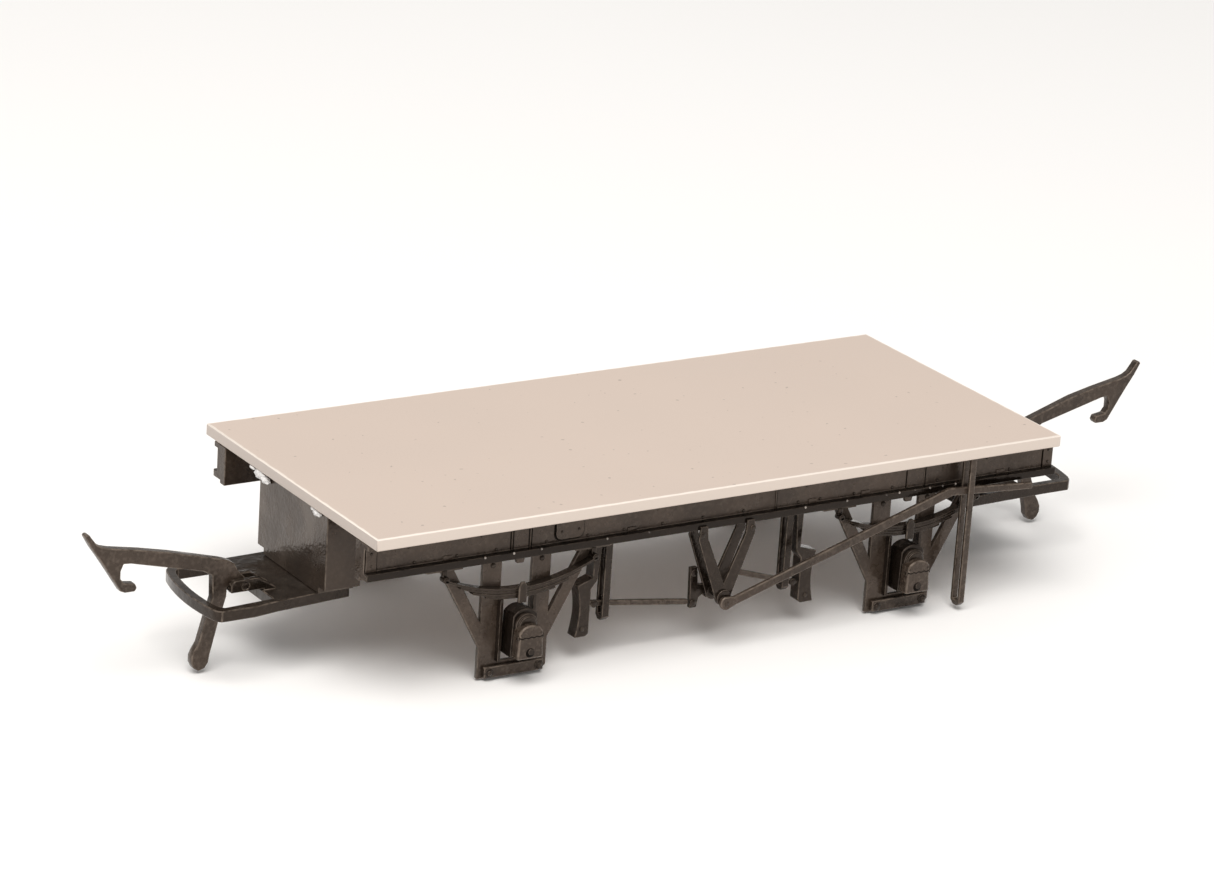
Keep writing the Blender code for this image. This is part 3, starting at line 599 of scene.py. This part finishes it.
class FLATCAR_OT_solebars(bpy.types.Operator):
    """Makes the two solebars with their plates, seams and rivets"""
    bl_idname = "flatcar.solebars"
    bl_label = "Solebars"

    def plates(self, turn):
        """Joint strips, the number plate, end plates, small lugs and the top moulding."""
        bm = bmesh.new()
        face = -WEB_FACE
        root = face + 0.05
        for x in (-21.2, -19.4, 19.4, 21.2):
            slab(bm, box_outline(x - 0.05, x + 0.05, WEB_FOOT, WEB_HEAD), face - 0.05, root, turn)
        slab(bm, box_outline(-16.95, -14.25, 12.05, WEB_HEAD, 0.5), face - 0.2, root, turn)
        slab(bm, box_outline(5.35, 5.48, 11.7, WEB_HEAD), face - 0.09, root, turn)
        for x in (-34.75, 34.75):
            slab(bm, box_outline(x - 0.5, x + 0.5, WEB_FOOT, WEB_HEAD), face - 0.12, root, turn)
        for x in (-27.4, -9.3, 9.3, 14.9, 29.6):
            slab(bm, box_outline(x - 0.45, x + 0.45, 11.62, 12.15, 0.15), face - 0.1, root, turn)
        slab(bm, box_outline(-35.1, 35.1, 13.72, 13.83), face - 0.12, root, turn)
        return bm

    def painted_shade_lines(self, turn):
        """Painted shade: near-black lines round the number plate and beside the strips, and along the web's
        foot and head, for the shade in the grooves.
        """
        bm = bmesh.new()
        face = -WEB_FACE
        root = face + 0.05
        slab(bm, box_outline(-17.06, -14.14, 11.94, WEB_HEAD, 0.55), face - 0.07, root, turn)
        for x in (-21.33, -21.07, -19.53, -19.27, 5.52, 19.27, 21.33):
            slab(bm, box_outline(x - 0.035, x + 0.035, SEAM_FOOT, SEAM_HEAD), face - 0.035, root, turn)
        for x in (-35.27, -34.22, 34.22, 35.27):
            slab(bm, box_outline(x - 0.04, x + 0.04, SEAM_FOOT, SEAM_HEAD), face - 0.06, root, turn)
        slab(bm, box_outline(-35.2, 35.2, 11.66, 11.76), face - 0.05, root, turn)
        slab(bm, box_outline(-35.2, 35.2, 13.66, 13.74), face - 0.05, root, turn)
        return bm

    def rivets(self, sizes):
        """Rows of heads on the web, its plates and the flange."""
        web = [(x, -WEB_FACE - 0.02, 12.0)
               for x in (-30.6, -26.5, -22.7, -17.8, -13.7, -10.1, -6.2, -2.1,
                         2.1, 7.8, 10.1, 13.7, 17.8, 22.7, 26.5, 30.6)]
        web += [(x, -WEB_FACE - 0.02, 13.45) for x in (-31.2, -24.2, 8.6, 12.2, 28.0)]
        plate = [(-16.42, -WEB_FACE - 0.2, 12.76), (-14.74, -WEB_FACE - 0.2, 12.79)]
        strips = [(x, -WEB_FACE - 0.12, z) for x in (-34.75, 34.75) for z in (12.25, 13.35)]
        flange = [(x, -13.84, 11.66)
                  for x in (-24.1, -21.3, -18.6, -12.1, -7.9, 8.2, 12.6, 16.8, 18.2, 19.9, 21.5, 22.9, 24.3)]
        heads("web_rivets", both_sides(web), sizes.rivet_radius, sizes.rivet_height)
        heads("plate_rivets", both_sides(plate + strips), sizes.rivet_radius * 0.9, sizes.rivet_height)
        # Painted glints: the flange's rivet heads get the pale glint finish.
        heads("flange_rivets", both_sides(flange), sizes.rivet_radius * 0.75, sizes.rivet_height,
              "glint_nib")

    def execute(self, context):
        for side, turn in SIDES:
            skin("solebar_" + side, "black_satin", edge=0.00009)
            solid_piece("solebar_plates_" + side, self.plates(turn), "black_satin", edge=0.00004)
            # Painted shade lines in the near-black finish.
            solid_piece("solebar_shade_lines_" + side, self.painted_shade_lines(turn), "black_painted_recess_shade")
            # The lower flange in the darkest glossy black: painted shade for the dark band under the web.
            bm = bmesh.new()
            slab(bm, box_outline(-35.38, 35.38, 11.08, 11.74), -FLANGE_LIP - 0.025, -WEB_FACE + 0.05, turn)
            solid_piece("solebar_flange_" + side, bm, "black_painted_shade", edge=0.00006)
        self.rivets(context.scene.flatcar_fittings)
        return {"FINISHED"}


class FLATCAR_OT_axleguards(bpy.types.Operator):
    """Makes the axleguards with their keep strips and keep bolts"""
    bl_idname = "flatcar.axleguards"
    bl_label = "Axleguards"

    def execute(self, context):
        sizes = context.scene.flatcar_fittings
        face = -GUARD_FACE
        for turn, axle, place in corners():
            skin("axleguard_" + place, "black_satin", edge=0.00008)
            skin("keep_strip_" + place, "black_worn_highlit", edge=0.00009)
            bm = bmesh.new()
            for way in (-1, 1):
                horn = axle + way * 1.62
                slab(bm, box_outline(horn - 0.14, horn + 0.14, 1.5, 7.2), face - 0.55, face + 0.02, turn)
                round_boss(bm, axle + way * KEEP_BOLT_PLACE, KEEP_BOLT_HEIGHT,
                           [(0.42, face - 0.3), (0.42, face - 0.5), (0.34, face - 0.56)], turn, 14)
            solid_piece("guard_fittings_" + place, bm, "black_gloss_shaded", edge=0.00003)
        bolts = []
        for axle in AXLES:
            for way in (-1, 1):
                bolts.append((axle + way * KEEP_BOLT_PLACE, face - 0.56, KEEP_BOLT_HEIGHT))
                bolts.append((axle + way * 7.1, face - 0.02, 10.35))
                bolts.append((axle + way * 2.4, face - 0.02, 10.2))
        heads("guard_bolts", both_sides(bolts), sizes.bolt_radius, sizes.rivet_height * 1.3)
        return {"FINISHED"}


class FLATCAR_OT_springs(bpy.types.Operator):
    """Makes the leaf springs, one strip for each leaf, and the buckles round them"""
    bl_idname = "flatcar.springs"
    bl_label = "Leaf springs"

    def execute(self, context):
        back = -GUARD_FACE - 0.03
        for turn, axle, place in corners():
            bm = bmesh.new()
            for rank in range(context.scene.flatcar_fittings.leaves):
                reach = LEAF_REACHES[rank]
                middle = LEAF_PITCH * rank + 0.12
                points = []
                for i in range(LEAF_STEPS + 1):
                    x = -reach + 2 * reach * i / LEAF_STEPS
                    points.append((axle + x, SPRING_TOP - middle + SPRING_CAMBER * (x / SPRING_REACH) ** 2))
                step_in = 0.045 * (rank % 2)
                slab(bm, line_strip(points, LEAF_DEPTH), back - 0.85 + step_in, back - 0.01, turn)
            for way in (-1, 1):
                eye_x = axle + way * EYE_PLACE
                eye_z = SPRING_TOP + EYE_RISE
                round_boss(bm, eye_x, eye_z, [(0.3, back), (0.3, back - 0.8), (0.2, back - 0.85)], turn, 14)
                slab(bm, box_outline(eye_x - 0.2, eye_x + 0.2, eye_z, 10.6), back - 0.45, back, turn)
            solid_piece("spring_leaves_" + place, bm, "black_gloss_shaded", edge=0.00003,
                        stands_for=("leaf_spring_" + place,))
            skin("spring_buckle_" + place, "black_gloss_shaded", edge=0.00011)
        return {"FINISHED"}


class FLATCAR_OT_axleboxes(bpy.types.Operator):
    """Makes the axleboxes, their round necks, covers and cover bolts"""
    bl_idname = "flatcar.axleboxes"
    bl_label = "Axleboxes"

    def execute(self, context):
        sizes = context.scene.flatcar_fittings
        for turn, axle, place in corners():
            # The axlebox body in the darkest glossy black: painted shade behind its cover.
            skin("axlebox_" + place, "black_painted_shade", edge=0.00008)
            skin("axlebox_cover_" + place, "black_worn_highlit", edge=0.00014, segments=3)
            bm = bmesh.new()
            neck = [(1.02, -13.9), (1.08, -14.3), (1.04, -14.5), (0.84, -14.53), (0.84, -14.7), (0.7, -14.76)]
            round_boss(bm, axle, 5.2, neck, turn, 28)
            for way in (-1, 1):
                ear = axle + way * 1.17
                slab(bm, box_outline(ear - 0.1, ear + 0.1, 4.2, 4.6), -15.3, -14.9, turn)
            round_boss(bm, axle + 0.04, 3.08, [(0.27, -15.1), (0.27, -15.39), (0.2, -15.4)], turn, 16)
            solid_piece("cover_fittings_" + place, bm, "black_gloss_shaded", edge=0.00003)
            # Painted shade: a near-black split line across the cover and a near-black ring round the cover
            # bolt, for the shade in the groove and the hole.
            bm = bmesh.new()
            split = [(axle - 1.12 + 2.24 * i / 8, 4.4 + 0.05 * (-1) ** i) for i in range(9)]
            slab(bm, line_strip(split, 0.1), -15.355, -15.1, turn)
            round_boss(bm, axle - 0.05, 3.02, [(0.42, -15.1), (0.42, -15.355)], turn, 18)
            solid_piece("cover_shade_lines_" + place, bm, "black_painted_recess_shade")
        bolts = []
        for axle in AXLES:
            for way in (-1, 1):
                bolts.append((axle + way * 0.95, -15.32, 4.72))
                bolts.append((axle + way * 1.02, -14.2, 2.75))
        heads("cover_bolts", both_sides(bolts), sizes.bolt_radius * 0.55, sizes.rivet_height * 0.6)
        return {"FINISHED"}


class FLATCAR_OT_brake_gear(bpy.types.Operator):
    """Makes the hangers, tumblers, rods, shoes, straps and hand levers"""
    bl_idname = "flatcar.brake_gear"
    bl_label = "Brake gear"

    def execute(self, context):
        sizes = context.scene.flatcar_fittings
        for side, turn in SIDES:
            for kind in ("v_hanger_outer_", "v_hanger_inner_", "tumbler_"):
                skin(kind + side, "black_gloss_shaded", edge=0.00006)
            skin("brake_pivot_" + side, "black_gloss_shaded", edge=0.00004)
            skin("brake_lever_" + side, "black_worn_highlit", edge=0.0001)
            skin("lever_guard_" + side, "black_worn_highlit", edge=0.00008)
            for end in ENDS:
                place = side + "_" + end
                skin("push_rod_" + place, "black_worn_highlit", edge=0.0001)
                skin("brake_shoe_" + place, "black_gloss_shaded", edge=0.00009)
                skin("safety_strap_" + place, "black_gloss_shaded", edge=0.00007)
            bm = bmesh.new()
            for profile in ([(0.72, -14.1), (0.72, -14.34), (0.6, -14.42)],
                            [(0.62, -12.35), (0.62, -12.6), (0.5, -12.66)]):
                round_boss(bm, 0.0, BRAKE_PIVOT_HEIGHT, profile, turn, 22)
            for x, z in ((-1.75, 3.6), (1.5, 6.0), (-1.8, 6.4), (-11.9, 5.05), (8.7, 4.0)):
                round_boss(bm, x, z, [(0.33, -12.0), (0.33, -12.2), (0.24, -12.26)], turn, 14)
            for x in (2.6, -2.6):
                round_boss(bm, x, 10.7, [(0.27, -14.0), (0.27, -14.22), (0.18, -14.27)], turn, 12)
            solid_piece("brake_fittings_" + side, bm, "black_gloss_shaded", edge=0.00003)
        pins = [(0.0, -14.85, 4.25), (-13.0, -12.22, 2.9), (10.1, -12.22, 2.6),
                (25.9, -14.3, 11.25), (26.5, -14.3, 11.2)]
        heads("brake_pins", both_sides(pins), sizes.bolt_radius, sizes.rivet_height)
        return {"FINISHED"}


class FLATCAR_OT_couplings(bpy.types.Operator):
    """Makes the coupling blocks, bumper loops, pins and hinged hooks"""
    bl_idname = "flatcar.couplings"
    bl_label = "Couplings"

    def execute(self, context):
        for end in ENDS:
            skin("coupling_block_" + end, "black_block", edge=0.0001)
            skin("coupler_body_" + end, "black_gloss_shaded", edge=0.0001)
            skin("hook_pin_" + end, "black_gloss_shaded", edge=0.00004)
            skin("hook_" + end, "black_worn_highlit", body=end + "_hook", edge=0.0001)
        return {"FINISHED"}


class FLATCAR_OT_stage(bpy.types.Operator):
    """Sets out the pale floor, the soft lights and the camera"""
    bl_idname = "flatcar.stage"
    bl_label = "Stage"

    def lay_ground(self, context):
        mesh = bpy.data.meshes.new("studio_floor")
        reach = 4.0
        mesh.from_pydata([(-reach, -reach, 0), (reach, -reach, 0), (reach, reach, 0), (-reach, reach, 0)],
                         [], [(0, 1, 2, 3)])
        ground = bpy.data.objects.new("studio_floor", mesh)
        ground.location.z = -0.0002
        context.scene.collection.objects.link(ground)
        material, tree, shader, place = start_finish("studio_paper", 0.9)
        tone = spread(tree, noise(tree, place, 3.0, 2.0), 0.3, 0.7, 0.0, 1.0)
        link(tree, blend(tree, tone, (0.93, 0.925, 0.92), (0.95, 0.945, 0.94)), shader.inputs["Base Color"])
        shader.inputs["Specular IOR Level"].default_value = 0.1
        mesh.materials.append(material)

    def light(self, context, settings):
        world = bpy.data.worlds.new("surround")
        world.use_nodes = True
        glow = world.node_tree.nodes["Background"]
        glow.inputs["Color"].default_value = SURROUND_COLOUR
        glow.inputs["Strength"].default_value = settings.surround
        context.scene.world = world
        aim = Vector((0.0, 0.0, 0.01))
        for name, place, size, power in (
                ("key_light", (-0.25, -0.30, 0.75), 0.60, settings.key_power),
                ("side_light", (-0.75, 0.05, 0.22), 0.45, settings.side_power)):
            lamp = bpy.data.lights.new(name, "AREA")
            lamp.shape = "SQUARE"
            lamp.size = size
            lamp.energy = power
            lamp.color = LAMP_COLOUR
            light = bpy.data.objects.new(name, lamp)
            light.location = place
            light.rotation_mode = "QUATERNION"
            light.rotation_quaternion = (aim - Vector(place)).to_track_quat("-Z", "Y")
            context.scene.collection.objects.link(light)

    def place_camera(self, context, settings):
        lens = bpy.data.cameras.new("camera")
        lens.sensor_width = 36.0
        lens.lens = settings.lens
        lens.shift_x = -0.008
        lens.shift_y = 0.0012
        lens.clip_start = 0.01
        lens.clip_end = 20.0
        camera = bpy.data.objects.new("camera", lens)
        camera.location = settings.camera_place
        camera.rotation_mode = "QUATERNION"
        look = Vector(settings.camera_aim) - Vector(settings.camera_place)
        lean = Quaternion((0.0, 0.0, 1.0), settings.camera_roll)
        camera.rotation_quaternion = look.to_track_quat("-Z", "Y") @ lean
        context.scene.collection.objects.link(camera)
        context.scene.camera = camera

    def execute(self, context):
        settings = context.scene.flatcar_stage
        self.lay_ground(context)
        self.light(context, settings)
        self.place_camera(context, settings)
        context.scene.view_settings.view_transform = "Standard"
        return {"FINISHED"}


class FLATCAR_PT_parts(bpy.types.Panel):
    """Lists the operators and the settings they read"""
    bl_label = "Flat car"
    bl_idname = "FLATCAR_PT_parts"
    bl_space_type = "VIEW_3D"
    bl_region_type = "UI"
    bl_category = "Flat car"

    def draw(self, context):
        for settings in (context.scene.flatcar_deck, context.scene.flatcar_plastic,
                         context.scene.flatcar_fittings, context.scene.flatcar_stage):
            box = self.layout.box()
            for name in settings.bl_rna.properties.keys():
                if name not in ("rna_type", "name"):
                    box.prop(settings, name)
        for operator in OPERATORS:
            self.layout.operator(operator.bl_idname)


OPERATORS = (FLATCAR_OT_floor, FLATCAR_OT_solebars, FLATCAR_OT_axleguards, FLATCAR_OT_springs,
             FLATCAR_OT_axleboxes, FLATCAR_OT_brake_gear, FLATCAR_OT_couplings, FLATCAR_OT_stage)
SETTINGS = (("flatcar_deck", DeckSettings), ("flatcar_plastic", PlasticSettings),
            ("flatcar_fittings", FittingSettings), ("flatcar_stage", StageSettings))


def register():
    for name, group in SETTINGS:
        bpy.utils.register_class(group)
        setattr(bpy.types.Scene, name, PointerProperty(type=group))
    for operator in OPERATORS:
        bpy.utils.register_class(operator)
    bpy.utils.register_class(FLATCAR_PT_parts)


def unregister():
    bpy.utils.unregister_class(FLATCAR_PT_parts)
    for operator in reversed(OPERATORS):
        bpy.utils.unregister_class(operator)
    for name, group in reversed(SETTINGS):
        delattr(bpy.types.Scene, name)
        bpy.utils.unregister_class(group)


def main():
    register()
    bpy.ops.flatcar.floor()
    bpy.ops.flatcar.solebars()
    bpy.ops.flatcar.axleguards()
    bpy.ops.flatcar.springs()
    bpy.ops.flatcar.axleboxes()
    bpy.ops.flatcar.brake_gear()
    bpy.ops.flatcar.couplings()
    bpy.ops.flatcar.stage()


if __name__ == "__main__":
    main()
